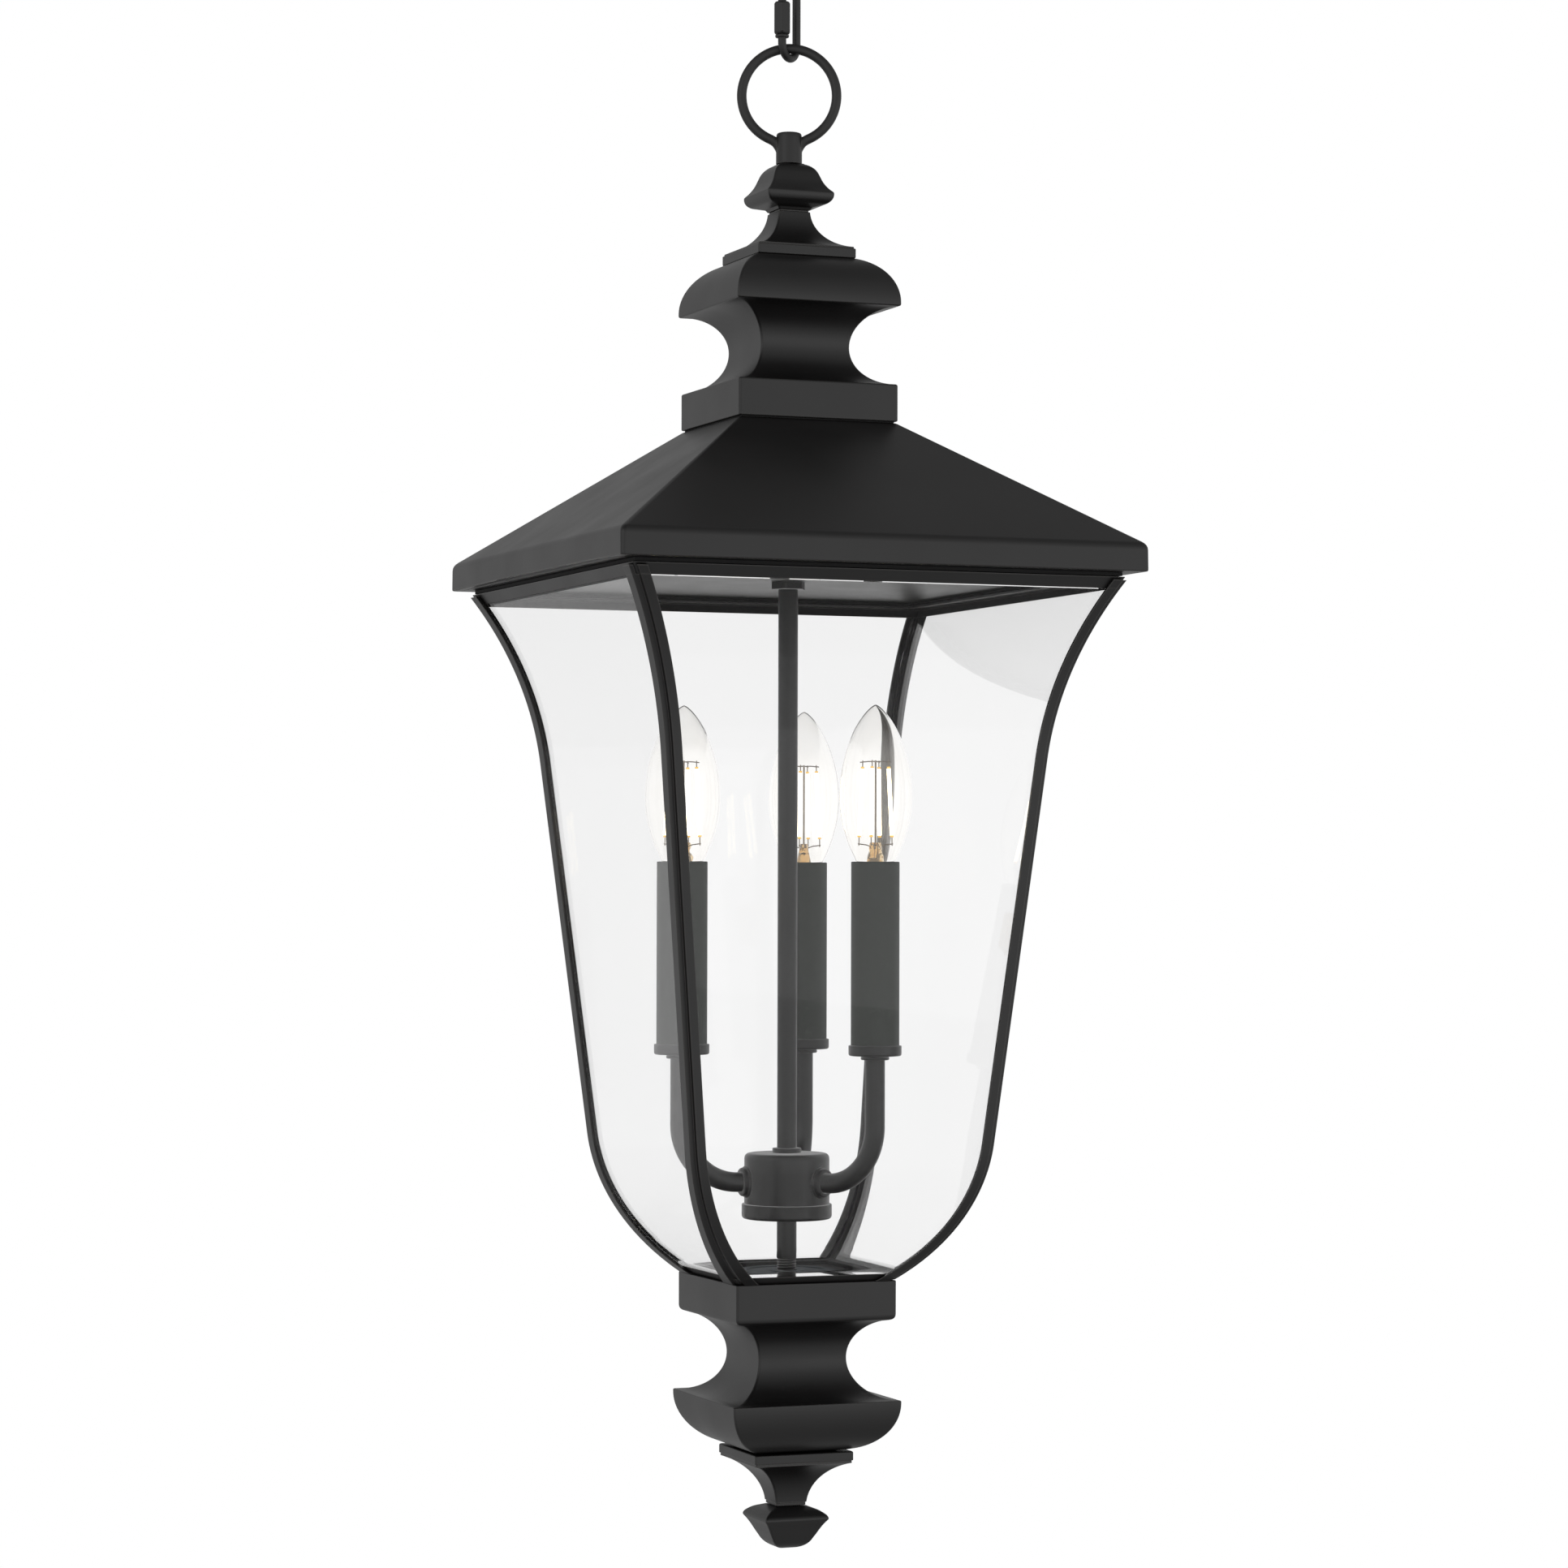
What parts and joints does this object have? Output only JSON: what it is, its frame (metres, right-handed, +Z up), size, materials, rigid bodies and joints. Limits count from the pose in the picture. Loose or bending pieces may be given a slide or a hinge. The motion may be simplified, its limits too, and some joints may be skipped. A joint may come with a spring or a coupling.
{
  "type": "hanging lantern",
  "caption": "Square hanging lantern: moulded cap, hipped roof, flared glass sides in notched corner bars, a cluster of candle lights on curved arms, and a moulded foot with a finial.",
  "frame": {"origin": "inner face of the quick link's top bend, on the lantern's axis, where the chain or hook carries it", "axes": "+Z up along the lantern's axis; the front face looks along -Y and the side faces look along X"},
  "size_m": [0.26, 0.26, 0.7561],
  "materials": {
    "cast_metal": "satin dark bronze paint",
    "dark_metal": "satin dark bronze paint",
    "link_steel": "satin dark bronze paint",
    "disc_steel": "dull",
    "seal_rubber": "matt",
    "brass": "satin",
    "socket_plastic": "matt",
    "sleeve_plastic": "matt, faintly speckled",
    "pane_glass": "clear",
    "lamp_glass": "clear",
    "stem_glass": "amber",
    "filament": "phosphor coated light bars"
  },
  "bodies": {
    "link": {"quick_link": "link_steel"},
    "link_nut": {"link_nut": "link_steel"},
    "lantern": {"loop": "dark_metal", "top_cap": "cast_metal", "top_collar": "cast_metal", "top_cove": "cast_metal", "top_bell": "cast_metal", "roof_seal": "seal_rubber", "roof": "dark_metal", "eave_gasket": "seal_rubber", "ceiling_plate": "dark_metal", "ceiling_nuts": "brass", "upper_stem": "dark_metal", "lower_stem": "dark_metal", "hub_body": "cast_metal", "hub_cover": "cast_metal", "hub_washers": "dark_metal", "arm_collars": "dark_metal", "arm_1": "dark_metal", "arm_2": "dark_metal", "arm_3": "dark_metal", "cup_1": "cast_metal", "cup_2": "cast_metal", "cup_3": "cast_metal", "cup_washers": "dark_metal", "socket_1": "socket_plastic", "socket_2": "socket_plastic", "socket_3": "socket_plastic", "sleeve_1": "sleeve_plastic", "sleeve_2": "sleeve_plastic", "sleeve_3": "sleeve_plastic"},
    "cage": {"top_rail": "dark_metal", "bar_1": "dark_metal", "bar_2": "dark_metal", "bar_3": "dark_metal", "bar_4": "dark_metal", "glass_front": "pane_glass", "glass_back": "pane_glass", "glass_left": "pane_glass", "glass_right": "pane_glass", "base_tray": "dark_metal", "base_disc": "disc_steel", "lower_bell": "cast_metal", "lower_cove": "cast_metal", "lower_collar": "cast_metal"},
    "finial": {"bottom_cap": "cast_metal"},
    "lamp_1": {"bulb_glass_1": "lamp_glass", "bulb_base_1": "brass", "bulb_mount_1": "stem_glass", "filaments_1": "filament"},
    "lamp_2": {"bulb_glass_2": "lamp_glass", "bulb_base_2": "brass", "bulb_mount_2": "stem_glass", "filaments_2": "filament"},
    "lamp_3": {"bulb_glass_3": "lamp_glass", "bulb_base_3": "brass", "bulb_mount_3": "stem_glass", "filaments_3": "filament"}
  },
  "joints": [
    {"name": "link_nut_turn", "type": "hinge", "parent": "link", "child": "link_nut", "pos_m": [-0.00544, -0.00441, -0.01615], "axis": [0, 0, 1], "continuous": true},
    {"name": "swing", "type": "hinge", "parent": "link", "child": "lantern", "pos_m": [0, 0, -0.0296], "axis": [0.9311, -0.3649, 0], "range_deg": [-40, 40]},
    {"name": "cage_drop", "type": "slide", "parent": "lantern", "child": "cage", "axis": [0, 0, -1], "range_m": [0, 0.12]},
    {"name": "finial_turn", "type": "hinge", "parent": "cage", "child": "finial", "pos_m": [0, 0, -0.74], "axis": [0, 0, 1], "continuous": true},
    {"name": "lamp_1_turn", "type": "hinge", "parent": "lantern", "child": "lamp_1", "pos_m": [-0.0533, 0, -0.44], "axis": [0, 0, 1], "continuous": true},
    {"name": "lamp_2_turn", "type": "hinge", "parent": "lantern", "child": "lamp_2", "pos_m": [0.02665, -0.04616, -0.44], "axis": [0, 0, 1], "continuous": true},
    {"name": "lamp_3_turn", "type": "hinge", "parent": "lantern", "child": "lamp_3", "pos_m": [0.02665, 0.04616, -0.44], "axis": [0, 0, 1], "continuous": true}
  ]
}
